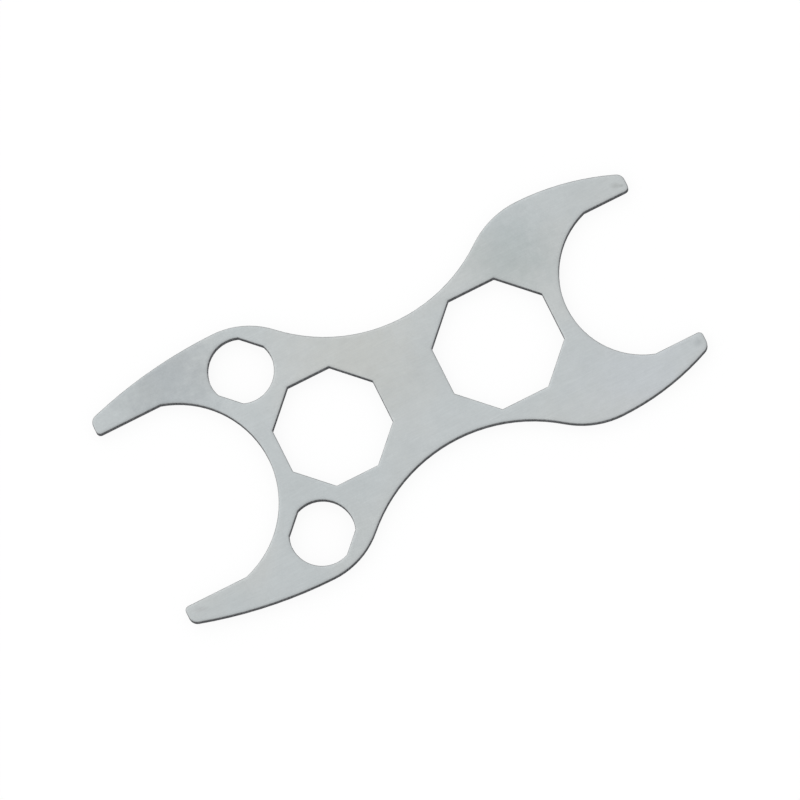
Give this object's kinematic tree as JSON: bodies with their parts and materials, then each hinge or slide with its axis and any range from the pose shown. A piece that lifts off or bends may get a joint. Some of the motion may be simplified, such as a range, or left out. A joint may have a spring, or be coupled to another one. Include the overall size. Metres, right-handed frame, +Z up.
{
  "type": "plate spanner",
  "caption": "Flat stamped steel plate spanner with an open jaw at each end, octagonal ring openings in its waist and flatted key holes beside the wider jaw.",
  "frame": {"origin": "on the underside, at the centre of the plate's length and width", "axes": "+X along the plate from the wide jaw to the narrow jaw, +Y across it, +Z up out of the face that the plate does not rest on"},
  "size_m": [0.1538, 0.0722, 0.004],
  "materials": {
    "sheet_steel": "tumbled satin sheet steel with darker sheared edges"
  },
  "bodies": {
    "root": {"spanner_plate": "sheet_steel"}
  },
  "joints": []
}
